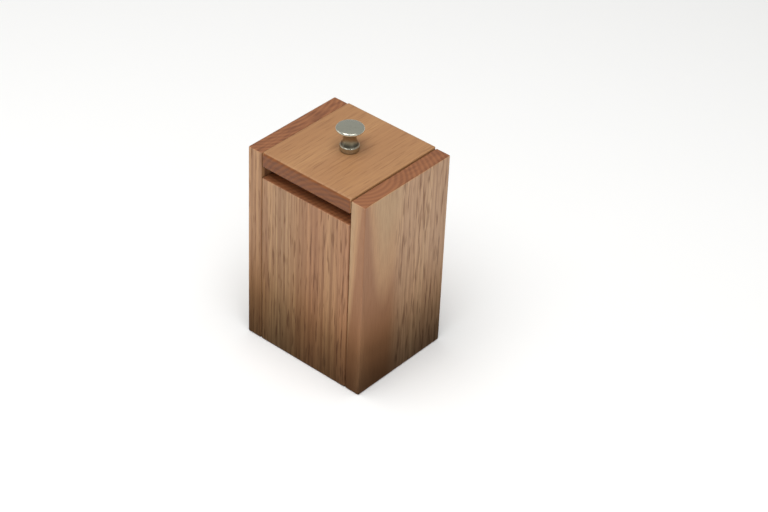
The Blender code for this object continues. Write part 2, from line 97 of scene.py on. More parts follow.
# Stage
FLOOR_DROP = 0.0002
FLOOR_HALF = 3.0
FLOOR_SEGMENTS = 8
PAPER_FLECK_SCALE = 40.0
PAPER_FLECK_SHARE = 0.04
PAPER_LIGHT = (0.95, 0.95, 0.95)
PAPER_DARK = (0.85, 0.85, 0.85)
CARD_SEGMENTS = 32
CARD_BLACK = (0.01, 0.012, 0.01, 1.0)
CLOTH_BLACK = (0.01, 0.01, 0.01, 1.0)
ROOM_TINT = (1.0, 1.0, 0.97, 1.0)
SENSOR_WIDTH = 36.0
CLIP_START = 0.01
LIGHT_AIM = (0.0, 0.0, 0.05)
KEY_PLACE = (0.10, -0.25, 1.0)
KEY_SIZE = (0.9, 0.9)
LEFT_PLACE = (-0.9, -0.7, 0.5)
RIGHT_PLACE = (0.9, -0.3, 0.5)
FILL_SIZE = (0.8, 0.8)
RIGHT_SHARE = 0.5


# ------------------------------------------------------------------ settings

def length_property(name, description, default):
    return FloatProperty(name=name, description=description, default=default, unit="LENGTH",
                         precision=5)


class PuzzleBoxJoinery(bpy.types.PropertyGroup):
    knob_neck_radius: length_property("Knob neck", "Radius of the knob's waist", 0.0029)
    knob_base_radius: length_property("Knob base", "Radius of the knob's base", 0.0044)
    knob_base_height: length_property("Knob base height", "Height of the knob's base", 0.0026)
    knob_edge: length_property("Knob edge", "Radius of the base's shoulder", 0.0004)
    knob_rim: length_property("Knob rim", "Radius of the head's rolled rim", 0.0008)
    knob_rim_drop: length_property("Knob rim drop", "From the crown to the rim's middle", 0.0014)
    knob_socket_radius: length_property(
        "Knob socket", "Radius of the running hole for the spindle", 0.0021)
    knob_socket_depth: length_property(
        "Knob socket depth", "Depth of the hole that takes the spindle", 0.0068)
    spindle_radius: length_property("Spindle", "Radius of the spindle screw", 0.0020)
    spindle_head_height: length_property("Spindle head", "Height of the spindle's head", 0.0020)
    spindle_pitch: length_property("Spindle pitch", "Rise of its thread in one turn", 0.0007)
    spindle_thread: length_property("Spindle thread", "Length of its thread from the tip", 0.0062)
    spindle_thread_depth: length_property("Spindle thread depth", "Depth of its thread", 0.0003)
    wood_screw_radius: length_property("Wood screw", "Radius of the cover screws", 0.0014)
    wood_screw_head_height: length_property(
        "Wood screw head", "Height of their countersunk heads", 0.0014)
    wood_screw_tip: length_property("Wood screw tip", "Length of their points", 0.0018)
    thread_pitch: length_property("Wood screw pitch", "Rise of their thread in one turn", 0.0011)
    thread_depth: length_property("Wood screw thread", "How deep their thread is cut", 0.0003)
    screw_edge: length_property("Screw edge", "Radius of the spindle head's edge", 0.0003)
    ring_edge: length_property("Ring edge", "Chamfer of the bush and washer", 0.00008)
    pin_edge: length_property("Pin edge", "Radius of the lock pins' ends", 0.0004)
    turning_steps: IntProperty(
        name="Turning steps", description="Steps round the knob", default=144)
    screw_steps: IntProperty(
        name="Screw steps", description="Steps round a screw or pin", default=40)


def color_property(name, description, default):
    return FloatVectorProperty(name=name, description=description, default=default,
                               size=3, subtype="COLOR", min=0.0, max=1.0)


class PuzzleBoxFinishes(bpy.types.PropertyGroup):
    nickel: color_property("Nickel", "Plated knob", (0.66, 0.66, 0.56))
    steel: color_property("Steel", "Screw, cam, nut and pins", (0.42, 0.42, 0.43))
    brass: color_property("Brass", "Bolts, bush and cover screws", (0.72, 0.50, 0.20))
    wax_roughness: FloatProperty(
        name="Wax roughness", description="Roughness of the waxed oak", default=0.46,
        min=0.0, max=1.0, subtype="FACTOR")


class PuzzleBoxStudio(bpy.types.PropertyGroup):
    azimuth: FloatProperty(
        name="Azimuth", description="How far the camera stands round to the right of the front",
        default=math.radians(39.47), subtype="ANGLE")
    elevation: FloatProperty(
        name="Elevation", description="How far the camera looks down",
        default=math.radians(36.49), subtype="ANGLE")
    roll: FloatProperty(
        name="Roll", description="Turn of the camera about its own line of sight",
        default=math.radians(2.625), subtype="ANGLE")
    distance: FloatProperty(
        name="Distance", description="From the camera to the middle of the box",
        default=0.971, unit="LENGTH")
    slide_right: FloatProperty(
        name="Slide right", description="How far the camera stands off to the right of its aim",
        default=0.01681, unit="LENGTH")
    slide_up: FloatProperty(
        name="Slide up", description="How far the camera stands off above its aim",
        default=-0.00481, unit="LENGTH")
    lens: FloatProperty(
        name="Lens", description="Focal length", default=101.98, unit="CAMERA")
    key_power: FloatProperty(
        name="Key light", description="Power of the overhead softbox", default=9.5, unit="POWER")
    fill_power: FloatProperty(
        name="Fill lights", description="Power of the left softbox; the right one has half",
        default=1.3, unit="POWER")
    ambient: FloatProperty(
        name="Ambient", description="Strength of the room's even light", default=0.40)
    flag_rise: FloatProperty(
        name="Flag rise", description="How high the dark skirt round the box's foot stands",
        default=0.018, unit="LENGTH")
    flag_spread: FloatProperty(
        name="Flag spread", description="How far the dark skirt leans out from the box",
        default=0.015, unit="LENGTH")
    flag_brim: FloatProperty(
        name="Flag brim", description="Width of the brim over which the dark skirt fades out",
        default=0.022, unit="LENGTH")
    flag_brim_rise: FloatProperty(
        name="Flag brim rise", description="How far the brim climbs", default=0.004,
        unit="LENGTH")
    card_radius: FloatProperty(
        name="Card radius", description="Radius of the black card over the knob",
        default=0.15, unit="LENGTH")
    card_elevation: FloatProperty(
        name="Card elevation", description="How high the black card hangs",
        default=math.radians(72.0), subtype="ANGLE")
    card_distance: FloatProperty(
        name="Card distance", description="From the box's foot to the black card",
        default=0.6, unit="LENGTH")


def joinery():
    return bpy.context.scene.puzzle_box_joinery


def finishes():
    return bpy.context.scene.puzzle_box_finishes


def studio():
    return bpy.context.scene.puzzle_box_studio


# ------------------------------------------------------------------ shader building

class Value:
    """A number in a node tree that takes part in Python arithmetic."""

    def __init__(self, nodes, socket):
        self.nodes = nodes
        self.socket = socket

    def math(self, operation, first, second=None):
        values = {0: first}
        if second is not None:
            values[1] = second
        node = self.nodes.add("ShaderNodeMath", {"operation": operation}, values)
        return Value(self.nodes, node.outputs[0])

    def __add__(self, other):
        return self.math("ADD", self, other)

    def __radd__(self, other):
        return self.math("ADD", other, self)

    def __sub__(self, other):
        return self.math("SUBTRACT", self, other)

    def __rsub__(self, other):
        return self.math("SUBTRACT", other, self)

    def __mul__(self, other):
        return self.math("MULTIPLY", self, other)

    def __rmul__(self, other):
        return self.math("MULTIPLY", other, self)

    def __truediv__(self, other):
        return self.math("DIVIDE", self, other)

    def __rtruediv__(self, other):
        return self.math("DIVIDE", other, self)

    def root(self):
        return self.math("SQRT", self)

    def fract(self):
        return self.math("FRACT", self)

    def step(self, low, high):
        """Smooth rise from 0 at low to 1 at high, or a fall where high is the smaller."""
        settings = {"interpolation_type": "SMOOTHSTEP"}
        flip = high < low
        values = {"Value": self, "From Min": min(low, high), "From Max": max(low, high)}
        values["To Min"] = 1.0 if flip else 0.0
        values["To Max"] = 0.0 if flip else 1.0
        node = self.nodes.add("ShaderNodeMapRange", settings, values)
        return Value(self.nodes, node.outputs["Result"])


class Finish:
    """One material: its node tree, its shader and the ways to add nodes to it."""

    def __init__(self, name):
        self.material = bpy.data.materials.new(name)
        self.material.use_nodes = True
        self.tree = self.material.node_tree
        self.shader = self.tree.nodes["Principled BSDF"]

    def add(self, kind, settings=None, values=None):
        """Add a node: its settings or ramp stops first, then the values or links of its sockets."""
        node = self.tree.nodes.new(kind)
        for key, setting in (settings or {}).items():
            if key == "stops":
                set_stops(node.color_ramp, setting)
            else:
                setattr(node, key, setting)
        for key, value in (values or {}).items():
            self.feed(node.inputs[key], value)
        return node

    def feed(self, socket, value):
        if isinstance(value, Value):
            self.tree.links.new(value.socket, socket)
        elif isinstance(value, bpy.types.NodeSocket):
            self.tree.links.new(value, socket)
        else:
            socket.default_value = value

    def place(self):
        """The piece's own coordinates in metres."""
        return self.add("ShaderNodeTexCoord").outputs["Object"]

    def axes(self):
        node = self.add("ShaderNodeSeparateXYZ", values={0: self.place()})
        return {axis: Value(self, node.outputs[axis]) for axis in "XYZ"}

    def vector(self, x, y, z):
        return self.add("ShaderNodeCombineXYZ", values={"X": x, "Y": y, "Z": z}).outputs[0]

    def reach(self):
        """Distance from the Z axis."""
        place = self.axes()
        return (place["X"] * place["X"] + place["Y"] * place["Y"]).root()

    def noise(self, vector, scale=1.0, detail=2.0):
        values = {"Vector": vector, "Scale": scale, "Detail": detail}
        return Value(self, self.add("ShaderNodeTexNoise", values=values).outputs["Fac"])

    def mix(self, amount, first, second):
        """A colour between two others."""
        node = self.add("ShaderNodeMix", {"data_type": "RGBA"}, {0: amount})
        for socket, color in ((node.inputs[6], first), (node.inputs[7], second)):
            self.feed(socket, (*color, 1.0) if isinstance(color, (tuple, list)) else color)
        return node.outputs[2]

    def ramp(self, amount, stops):
        return self.add("ShaderNodeValToRGB", {"stops": stops}, {"Fac": amount}).outputs["Color"]

    def bump(self, height, distance, strength):
        values = {"Height": height, "Distance": distance, "Strength": strength}
        node = self.add("ShaderNodeBump", values=values)
        self.feed(self.shader.inputs["Normal"], node.outputs[0])

    def set(self, **values):
        for key, value in values.items():
            self.feed(self.shader.inputs[key.replace("_", " ")], value)


def set_stops(color_ramp, stops):
    """Replace a ramp's stops with pairs of place and linear colour."""
    elements = color_ramp.elements
    while len(elements) > 1:
        elements.remove(elements[-1])
    for i, (place, color) in enumerate(stops):
        element = elements[0] if i == 0 else elements.new(place)
        element.position = place
        element.color = (*color, 1.0)


def linear(red, green, blue):
    """A paint-chart colour, 0 to 255, as linear light."""
    def channel(value):
        value /= 255
        return value / 12.92 if value <= 0.04045 else ((value + 0.055) / 1.055) ** 2.4
    return channel(red), channel(green), channel(blue)


# ------------------------------------------------------------------ finishes

class Board:
    """How a board was sawn: its axes, where the tree's heart lay, and the tones of its rings."""

    def __init__(self, axes, heart, lean, bands, stripe=1.0, dash=1.0, shift=0.0, calm=None,
                 ends=None):
        self.axes = axes
        self.heart = heart
        self.lean = lean
        self.bands = bands
        self.stripe = stripe
        self.dash = dash
        self.shift = shift
        self.calm = calm
        self.ends = ends or (END_LIGHT, END_DARK)


TAN = linear(189, 144, 102)
PALE = linear(210, 174, 137)
OLIVE = linear(187, 151, 111)
PINK = linear(184, 133, 94)
RUST = linear(158, 107, 71)
UMBER = linear(138, 93, 62)
BARK = linear(100, 61, 37)
GOLD = linear(175, 131, 88)
AMBER = linear(166, 121, 80)
END_LIGHT = linear(152, 98, 62)
END_DARK = linear(114, 67, 40)

# Axes are wide, deep and along the grain; the heart is a place in the first two, in metres.
# Bands are tones against distance from the heart, in shares of BAND_REACH.
BOARDS = {
    "front_panel": Board("XYZ", (-0.035, -0.010), 0.02,
                         [(0.34, TAN), (0.45, OLIVE), (0.60, TAN), (0.74, PINK), (0.88, TAN),
                          (1.0, PINK)]),
    "rear_panel": Board("XYZ", (0.035, 0.008), -0.03,
                        [(0.34, PINK), (0.45, TAN), (0.60, OLIVE), (0.74, TAN), (1.0, PINK)],
                        shift=3.1),
    "right_panel": Board("YXZ", (-0.0128, 0.0072), -0.081,
                         [(0.30, OLIVE), (0.333, OLIVE), (0.365, TAN), (0.39, RUST),
                          (0.44, RUST), (0.50, PINK), (0.56, TAN), (0.62, RUST)],
                         stripe=0.65, shift=5.7, calm=(-0.010, -0.001)),
    "left_panel": Board("YXZ", (0.006, -0.058), 0.06,
                        [(0.30, TAN), (0.42, PINK), (0.52, OLIVE), (0.62, TAN), (0.8, TAN)],
                        dash=0.7, shift=8.3),
    "lid_board": Board("XZY", (0.025, 0.060), 0.02,
                       [(0.60, GOLD), (0.78, AMBER), (0.88, GOLD), (1.0, AMBER)],
                       stripe=0.35, dash=0.5, shift=11.9,
                       ends=(linear(142, 80, 24), linear(102, 52, 14))),
}
BAND_REACH = 0.060
WOBBLE = 0.0030
RING = 0.0023
BUMP_DEPTH = 0.00006

# Each layer of grain: waves in a metre across the board and along it, and where its edge falls.
WAVER = (60, 12)
STRIPE = (740, 8)
STRIPE_EDGE = (0.40, 0.60)
DASH = (900, 72)
DASH_EDGE = (0.53, 0.67)
FIBRE = (3600, 150)
FIBRE_EDGE = (0.40, 0.75)
STREAK = (130, 700, 8)
STREAK_STRIPE_EDGE = (0.35, 0.65)
STREAK_DASH_EDGE = (0.56, 0.70)

# The loose early wood of a ring: where in the ring it opens and where it closes.
EARLY_OPEN = (0.0, 0.25)
EARLY_CLOSE = (0.85, 0.45)

# The pale, quiet side of a board: how much grain is left there, and how pale it goes.
CALM_GRAIN = 0.15
CALM_PALE = 0.6

# How strongly each layer darkens a face or a cut end, and how much more so in early wood.
STRIPE_SHARE = 0.46
DASH_SHARE = 0.42
EARLY_SHARE = 0.20
FIBRE_SHARE = 0.30
END_TONE = 0.30
END_EARLY_SHARE = 0.40
END_STRIPE_SHARE = 0.5
END_DASH_SHARE = 0.3
END_DASH_FADE = 0.6

# What open pores and fibres add to the wood's roughness, and how deep each layer lies.
DASH_ROUGHNESS = 0.2
FIBRE_ROUGHNESS = 0.12
DASH_DEPTH = 0.7
STRIPE_DEPTH = 0.1
FIBRE_DEPTH = 0.25
WOOD_BUMP = 0.6


def oak(name, board, end=False):
    """Open-grained oak cut from a solid of rings, so one pattern runs through every face."""
    finish = Finish(name)
    place = finish.axes()
    wide, deep, long = [place[axis] for axis in board.axes]
    drawn = long + board.shift

    def grain(across, along):
        return finish.noise(finish.vector(wide * across, deep * across, drawn * along))

    waver = grain(*WAVER) - 0.5
    across = wide - board.heart[0]
    depth = deep - board.heart[1] + long * board.lean
    radius = (across * across + depth * depth).root() + waver * WOBBLE
    ring = (radius / RING).fract()
    early = ring.step(*EARLY_OPEN) * ring.step(*EARLY_CLOSE)
    if end:
        in_width, in_depth, in_length = STREAK
        streak = finish.noise(finish.vector(wide * in_width, deep * in_depth, drawn * in_length))
        stripe = streak.step(*STREAK_STRIPE_EDGE)
        dash = streak.step(*STREAK_DASH_EDGE) * END_DASH_FADE
    else:
        stripe = grain(*STRIPE).step(*STRIPE_EDGE)
        dash = grain(*DASH).step(*DASH_EDGE)
    fibre = grain(*FIBRE)
    if board.calm:
        open_side = wide.step(*board.calm) * (1.0 - CALM_GRAIN) + CALM_GRAIN
        stripe = stripe * open_side
        dash = dash * open_side
    if end:
        tone = END_TONE + END_EARLY_SHARE * early
        tone = tone + (stripe - 0.5) * END_STRIPE_SHARE * board.stripe
        color = finish.mix(tone, *board.ends)
        color = finish.mix(dash * END_DASH_SHARE, color, BARK)
    else:
        color = finish.ramp(radius / BAND_REACH, board.bands)
        if board.calm:
            color = finish.mix(open_side * CALM_PALE, color, PALE)
        umber_share = (STRIPE_SHARE + EARLY_SHARE * early) * stripe * board.stripe
        color = finish.mix(umber_share, color, UMBER)
        bark_share = (DASH_SHARE + EARLY_SHARE * early) * dash * board.dash
        color = finish.mix(bark_share, color, BARK)
        color = finish.mix(fibre.step(*FIBRE_EDGE) * FIBRE_SHARE, color, UMBER)
    pores = dash * DASH_ROUGHNESS
    rough = finishes().wax_roughness + pores + (fibre - 0.5) * FIBRE_ROUGHNESS
    finish.set(Base_Color=color, Roughness=rough)
    height = 0.5 - dash * DASH_DEPTH - stripe * STRIPE_DEPTH + (fibre - 0.5) * FIBRE_DEPTH
    finish.bump(height, BUMP_DEPTH, WOOD_BUMP)
    return finish.material


def inner_board(axes, shift):
    """Plain sawn board for the hidden pieces."""
    return Board(axes, (0.012, 0.045), 0.03, [(0.1, PINK), (0.4, TAN), (0.7, PINK), (1.0, TAN)],
                 stripe=0.8, dash=0.8, shift=shift)


# Waves in a metre of the lines that a lathe leaves and of the smears that handling leaves
KNOB_LINE_SCALE = 9000.0
RING_LINE_SCALE = 8000.0
SCREW_LINE_SCALE = 7000.0
SMEAR_SCALE = 260.0
MARK_SCALES = (400.0, 9000.0)
KNOB_LINE_DEPTH = 0.000005
LINE_DEPTH = 0.00001
MARK_DEPTH = 0.000015
# Painted reflection: the brown tint on the knob's waist stands in for the wood it mirrors
WAIST_REFLECTION_TINT = (0.42, 0.34, 0.24)
# Painted dark reflection for the crease where the knob's neck flares into its base
CREASE_REFLECTION_DARK = (0.035, 0.028, 0.018)

# Where handling shows as smears, and how strongly
SMEAR_EDGE = (0.45, 0.75)
SMEAR_SHARE = 0.35

# Where the knob's tones rise and fall: shares of the neck and of the rim's drop, then metres
# above the shoulder of the base
WAIST_NECK = 1.1
WAIST_TOP = (1.0, 1.6)
# Heights above the base's shoulder between which the crease's painted dark reflection lies
CREASE_REFLECTION_RISE = (0.0022, 0.0008)
CREASE_REFLECTION_FALL = (0.0, 0.0004)
# Where the painted dark reflection on the base's side begins below its shoulder
BASE_REFLECTION_RISE = (0.0002, -0.0004)
# How strongly the base's side is darkened as a painted reflection
BASE_REFLECTION_SHARE = 0.8
# How strongly the waist's painted brown reflection is mixed in
WAIST_REFLECTION_SHARE = 0.85
# How strongly the crease's painted dark reflection is mixed in
CREASE_REFLECTION_SHARE = 0.8
KNOB_ROUGHNESS = 0.18
WAIST_ROUGHNESS = 0.14


def tinted(color, shares):
    """A colour times one share, or a share for each of its channels."""
    if isinstance(shares, float):
        shares = (shares,) * len(color)
    return tuple(channel * share for channel, share in zip(color, shares))


def turned_metal(name, color, roughness, line_scale):
    """Metal finished in a lathe: fine lines round the Z axis, soft smears, faint tarnish."""
    finish = Finish(name)
    height = finish.axes()["Z"] * line_scale
    lines = finish.noise(finish.vector(finish.reach() * line_scale, 0.0, height), detail=3.0)
    smear = finish.noise(finish.place(), scale=SMEAR_SCALE, detail=3.0)
    tone = finish.mix(smear.step(*SMEAR_EDGE) * SMEAR_SHARE, color, tinted(color, 0.72))
    rough = roughness + (lines - 0.5) * 0.10 + (smear - 0.5) * 0.12
    finish.set(Base_Color=tone, Roughness=rough, Metallic=1.0)
    finish.bump(lines, LINE_DEPTH, 0.4)
    return finish.material


def knob_nickel(name, color, low, high):
    """Lathe-turned plate: polished head, rougher waist tinted brown as a painted reflection of the
    wood, base side darkened as a painted reflection, and a band of painted dark reflection in the
    crease above the base.
    """
    finish = Finish(name)
    settings = joinery()
    reach = finish.reach()
    upward = finish.axes()["Z"]
    below = high - upward
    rim_drop = settings.knob_rim_drop
    shoulder = high - low - settings.knob_base_height
    # The waist mask: the neck is made rougher there, and it is tinted brown as a painted reflection
    # of the wood
    waist = reach.step(settings.knob_base_radius, settings.knob_neck_radius * WAIST_NECK)
    waist = waist * below.step(*[rim_drop * share for share in WAIST_TOP])
    # Painted dark reflection: a dark band in the crease where the neck meets the base
    crease_reflection = below.step(*[shoulder - height for height in CREASE_REFLECTION_RISE])
    crease_reflection = crease_reflection * below.step(*[shoulder - height for height in CREASE_REFLECTION_FALL])
    # Painted reflection: the side of the base below its shoulder is darkened
    base = below.step(*[shoulder - height for height in BASE_REFLECTION_RISE])
    across = finish.vector(reach * KNOB_LINE_SCALE, 0.0, upward * KNOB_LINE_SCALE)
    lines = finish.noise(across, detail=3.0)
    smear = finish.noise(finish.place(), scale=SMEAR_SCALE, detail=3.0)
    tone = finish.mix(smear.step(*SMEAR_EDGE) * SMEAR_SHARE, color, tinted(color, 0.78))
    tone = finish.mix(base * BASE_REFLECTION_SHARE, tone, tinted(color, 0.62))
    tone = finish.mix(waist * WAIST_REFLECTION_SHARE, tone, tinted(color, WAIST_REFLECTION_TINT))
    tone = finish.mix(crease_reflection * CREASE_REFLECTION_SHARE, tone, CREASE_REFLECTION_DARK)
    rough = waist * WAIST_ROUGHNESS + KNOB_ROUGHNESS
    rough = rough + (lines - 0.5) * 0.08 + (smear - 0.5) * 0.10
    finish.set(Base_Color=tone, Roughness=rough, Metallic=1.0)
    finish.bump(lines, KNOB_LINE_DEPTH, 0.4)
    return finish.material


def machined_metal(name, color, roughness, grain_axis):
    """Flat metal stock with fine tool marks along one axis."""
    finish = Finish(name)
    place = finish.axes()
    along, across = MARK_SCALES
    stretched = [place[axis] * (along if axis == grain_axis else across) for axis in "XYZ"]
    marks = finish.noise(finish.vector(*stretched))
    smear = finish.noise(finish.place(), scale=300.0, detail=3.0)
    tone = finish.mix(smear.step(0.4, 0.8) * 0.5, color, tinted(color, 0.6))
    rough = roughness + (marks - 0.5) * 0.18 + (smear - 0.5) * 0.1
    finish.set(Base_Color=tone, Roughness=rough, Metallic=1.0)
    finish.bump(marks, MARK_DEPTH, 0.5)
    return finish.material


# ------------------------------------------------------------------ mesh building

def finish_piece(name, mesh_bm, materials, node, body, weighted=True):
    """Turn a bmesh into a piece that rides on a body and stands for its CAD node."""
    mesh = bpy.data.meshes.new(name)
    mesh_bm.to_mesh(mesh)
    mesh_bm.free()
    for material in materials:
        mesh.materials.append(material)
    mesh.shade_smooth()
    mesh.set_sharp_from_angle(angle=SHARP_ANGLE)
    piece = bpy.data.objects.new(name, mesh)
    bpy.context.scene.collection.objects.link(piece)
    if weighted:
        modifier = piece.modifiers.new("Even shading", "WEIGHTED_NORMAL")
        modifier.keep_sharp = True
    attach(piece, body)
    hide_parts(node)
    return piece


def mark_end_grain(bm, axis):
    """Give the faces that look along the grain the second material."""
    bm.normal_update()
    for face in bm.faces:
        if abs(face.normal["XYZ".index(axis)]) > END_GRAIN_NORMAL:
            face.material_index = 1


def merged_copy(node):
    """The CAD node's mesh with its loose triangles joined and its flats made whole."""
    bm = bmesh.new()
    bm.from_mesh(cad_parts[node].data)
    bmesh.ops.remove_doubles(bm, verts=bm.verts, dist=MERGE_DISTANCE)
    bmesh.ops.dissolve_limit(bm, angle_limit=FLAT_ANGLE, verts=bm.verts, edges=bm.edges)
    return bm


def turned(profile, steps, closed=False):
    """Spin a profile of radius and height about the Z axis."""
    bm = bmesh.new()
    ring = [bm.verts.new((radius, 0.0, height)) for radius, height in profile]
    pairs = list(zip(ring, ring[1:]))
    if closed:
        pairs.append((ring[-1], ring[0]))
    edges = [bm.edges.new(pair) for pair in pairs]
    bmesh.ops.spin(bm, geom=ring + edges, cent=(0.0, 0.0, 0.0), axis=(0.0, 0.0, 1.0),
                   angle=2 * math.pi, steps=steps, use_merge=True)
    bmesh.ops.remove_doubles(bm, verts=bm.verts, dist=MERGE_DISTANCE)
    bmesh.ops.recalc_face_normals(bm, faces=bm.faces)
    bm.normal_update()
    return bm


def arc(middle, radius, start, end, steps):
    """Points on a circle in the profile plane, from one angle in degrees to another."""
    angles = [math.radians(start + (end - start) * i / steps) for i in range(steps + 1)]
    return [(middle[0] + radius * math.cos(a), middle[1] + radius * math.sin(a)) for a in angles]


def straight(start, end, longest):
    """Points along a line in the profile plane, no further apart than the longest step."""
    count = max(1, math.ceil(math.dist(start, end) / longest))
    return [tuple(a + (b - a) * i / count for a, b in zip(start, end)) for i in range(count + 1)]


def cut_thread(bm, radius, low, high, pitch, depth):
    """Sink a helical groove into a shank that stands on the Z axis."""
    for vert in bm.verts:
        reach = math.hypot(vert.co.x, vert.co.y)
        if abs(reach - radius) > depth or not low < vert.co.z < high:
            continue
        turn = math.atan2(vert.co.y, vert.co.x) / (2 * math.pi)
        share = (vert.co.z / pitch - turn) % 1.0
        fade = min(1.0, (vert.co.z - low) / pitch, (high - vert.co.z) / pitch)
        sink = depth * fade * abs(2 * share - 1)
        vert.co.x *= (reach - sink) / reach
        vert.co.y *= (reach - sink) / reach


def loose_object(name, bm):
    mesh = bpy.data.meshes.new(name)
    bm.to_mesh(mesh)
    bm.free()
    item = bpy.data.objects.new(name, mesh)
    bpy.context.scene.collection.objects.link(item)
    return item


def carved(bm, cutter_bm):
    """The first shape with the second cut away."""
    solid = loose_object("solid", bm)
    cutter = loose_object("cutter", cutter_bm)
    boolean = solid.modifiers.new("Cut", "BOOLEAN")
    boolean.operation = "DIFFERENCE"
    boolean.solver = "EXACT"
    boolean.object = cutter
    depsgraph = bpy.context.evaluated_depsgraph_get()
    mesh = bpy.data.meshes.new_from_object(solid.evaluated_get(depsgraph))
    result = bmesh.new()
    result.from_mesh(mesh)
    for item in (solid, cutter):
        bpy.data.meshes.remove(item.data)
    bpy.data.meshes.remove(mesh)
    return result


def slot_cutter(middle, foot, length, width, depth):
    """The block that cuts a driver slot up into the underside of a screw head."""
    low = Vector((middle[0] - length, middle[1] - width / 2, foot - depth))
    high = Vector((middle[0] + length, middle[1] + width / 2, foot + depth))
    place = Matrix.Translation((high + low) / 2) @ Matrix.Diagonal((*(high - low), 1.0))
    bm = bmesh.new()
    bmesh.ops.create_cube(bm, size=1.0, matrix=place)
    return bm


def node_middle(node):
    low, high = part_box(node)
    return (Vector(low) + Vector(high)) / 2


# ------------------------------------------------------------------ pieces

def wood_piece(node, bm, board, body):
    materials = [oak(node + "_grain", board), oak(node + "_end", board, end=True)]
    mark_end_grain(bm, board.axes[2])
    return finish_piece(node + "_wood", bm, materials, node, body)


class PUZZLEBOX_OT_walls(bpy.types.Operator):
    """Make the four wall boards"""

    bl_idname = "puzzlebox.walls"
    bl_label = "Walls"
    bl_options = {"REGISTER", "UNDO"}

    def execute(self, context):
        for node in ("left_panel", "right_panel", "front_panel", "rear_panel"):
            wood_piece(node, merged_copy(node), BOARDS[node], "box")
        return {"FINISHED"}


class PUZZLEBOX_OT_lid(bpy.types.Operator):
    """Make the lid board"""

    bl_idname = "puzzlebox.lid"
    bl_label = "Lid"
    bl_options = {"REGISTER", "UNDO"}

    def execute(self, context):
        wood_piece("lid_board", merged_copy("lid_board"), BOARDS["lid_board"], "lid")
        return {"FINISHED"}


class PUZZLEBOX_OT_inner_boards(bpy.types.Operator):
    """Make the bottom, the cleats, the lock block and its cover"""

    bl_idname = "puzzlebox.inner_boards"
    bl_label = "Inner boards"
    bl_options = {"REGISTER", "UNDO"}

    def execute(self, context):
        places = {
            "bottom_board": ("YZX", "box"),
            "left_cleat": ("XZY", "box"),
            "right_cleat": ("XZY", "box"),
            "lock_block": ("YZX", "lid"),
            "lock_cover": ("XZY", "lid"),
        }
        for i, (node, (axes, body)) in enumerate(places.items()):
            board = inner_board(axes, 20.0 + 2.3 * i)
            wood_piece(node, merged_copy(node), board, body)
        return {"FINISHED"}


class PUZZLEBOX_OT_plugs(bpy.types.Operator):
    """Make the plugs that close the pin bores"""

    bl_idname = "puzzlebox.plugs"
    bl_label = "Bore plugs"
    bl_options = {"REGISTER", "UNDO"}

    def execute(self, context):
        for i, corner in enumerate(CORNERS):
            node = "bore_plug_" + corner
            board = inner_board("XZY", 40.0 + 1.7 * i)
            wood_piece(node, merged_copy(node), board, "lid")
        return {"FINISHED"}


def knob_profile(low, high, radius):
    """The knob's outline from its crown down to its foot, and up into its blind socket."""
    settings = joinery()
    neck_radius, base_radius = settings.knob_neck_radius, settings.knob_base_radius
    base_top, edge = low + settings.knob_base_height, settings.knob_edge
    rim = settings.knob_rim
    rim_middle = (radius - rim, high - settings.knob_rim_drop)
    crown = [(radius * CROWN_SHARE * i / CROWN_STEPS, high - CROWN_DROP * (i / CROWN_STEPS) ** 2)
             for i in range(CROWN_STEPS + 1)]
    waist_low, waist_high = base_top + edge, rim_middle[1] - rim
    middle, half = (waist_low + waist_high) / 2, (waist_high - waist_low) / 2
    neck = []
    for i in range(NECK_STEPS + 1):
        share = 1 - 2 * i / NECK_STEPS
        flare = radius * HEAD_FLARE if share > 0 else base_radius * BASE_FLARE
        neck.append((neck_radius + (flare - neck_radius) * share * share, middle + half * share))
    shoulder = arc((base_radius - edge, base_top - edge), edge, 80, 0, SHOULDER_STEPS)
    ease = edge * FOOT_SHARE
    foot = arc((base_radius - ease, low + ease), ease, 0, -90, EDGE_STEPS)
    socket, top = settings.knob_socket_radius, low + settings.knob_socket_depth
    hole = [(socket, low), (socket, top), (0.0, top)]
    return crown + arc(rim_middle, rim, 70, -70, RIM_STEPS) + neck + shoulder + foot + hole


class PUZZLEBOX_OT_knob(bpy.types.Operator):
    """Turn the knob"""

    bl_idname = "puzzlebox.knob"
    bl_label = "Knob"
    bl_options = {"REGISTER", "UNDO"}

    def execute(self, context):
        low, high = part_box("knob")
        profile = knob_profile(low[2], high[2], (high[0] - low[0]) / 2)
        nickel = knob_nickel("satin_nickel", tuple(finishes().nickel), low[2], high[2])
        bm = turned(profile, joinery().turning_steps)
        finish_piece("knob_turned", bm, [nickel], "knob", "knob", weighted=False)
        return {"FINISHED"}


def cut_spindle(steel):
    """The spindle screw, threaded at its tip and slotted for a driver."""
    settings = joinery()
    low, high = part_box("spindle_screw")
    head, radius = (high[0] - low[0]) / 2, settings.spindle_radius
    head_top, edge = low[2] + settings.spindle_head_height, settings.screw_edge
    step = settings.spindle_pitch / THREAD_STEPS
    shank = straight((radius, high[2] - edge), (radius, head_top), step)
    profile = [(0.0, high[2]), (radius - edge, high[2])] + shank
    profile += [(head - edge / 2, head_top), (head, head_top - edge / 2)]
    profile += arc((head - edge, low[2] + edge), edge, 0, -90, EDGE_STEPS) + [(0.0, low[2])]
    bm = turned(profile, settings.screw_steps)
    cut_thread(bm, radius, high[2] - settings.spindle_thread, high[2], settings.spindle_pitch,
               settings.spindle_thread_depth)
    width = settings.spindle_head_height / 2
    slotted = carved(bm, slot_cutter((0.0, 0.0), low[2], 2 * head, width, width))
    finish_piece("spindle_screw_cut", slotted, [steel], "spindle_screw", "knob",
                 weighted=False)


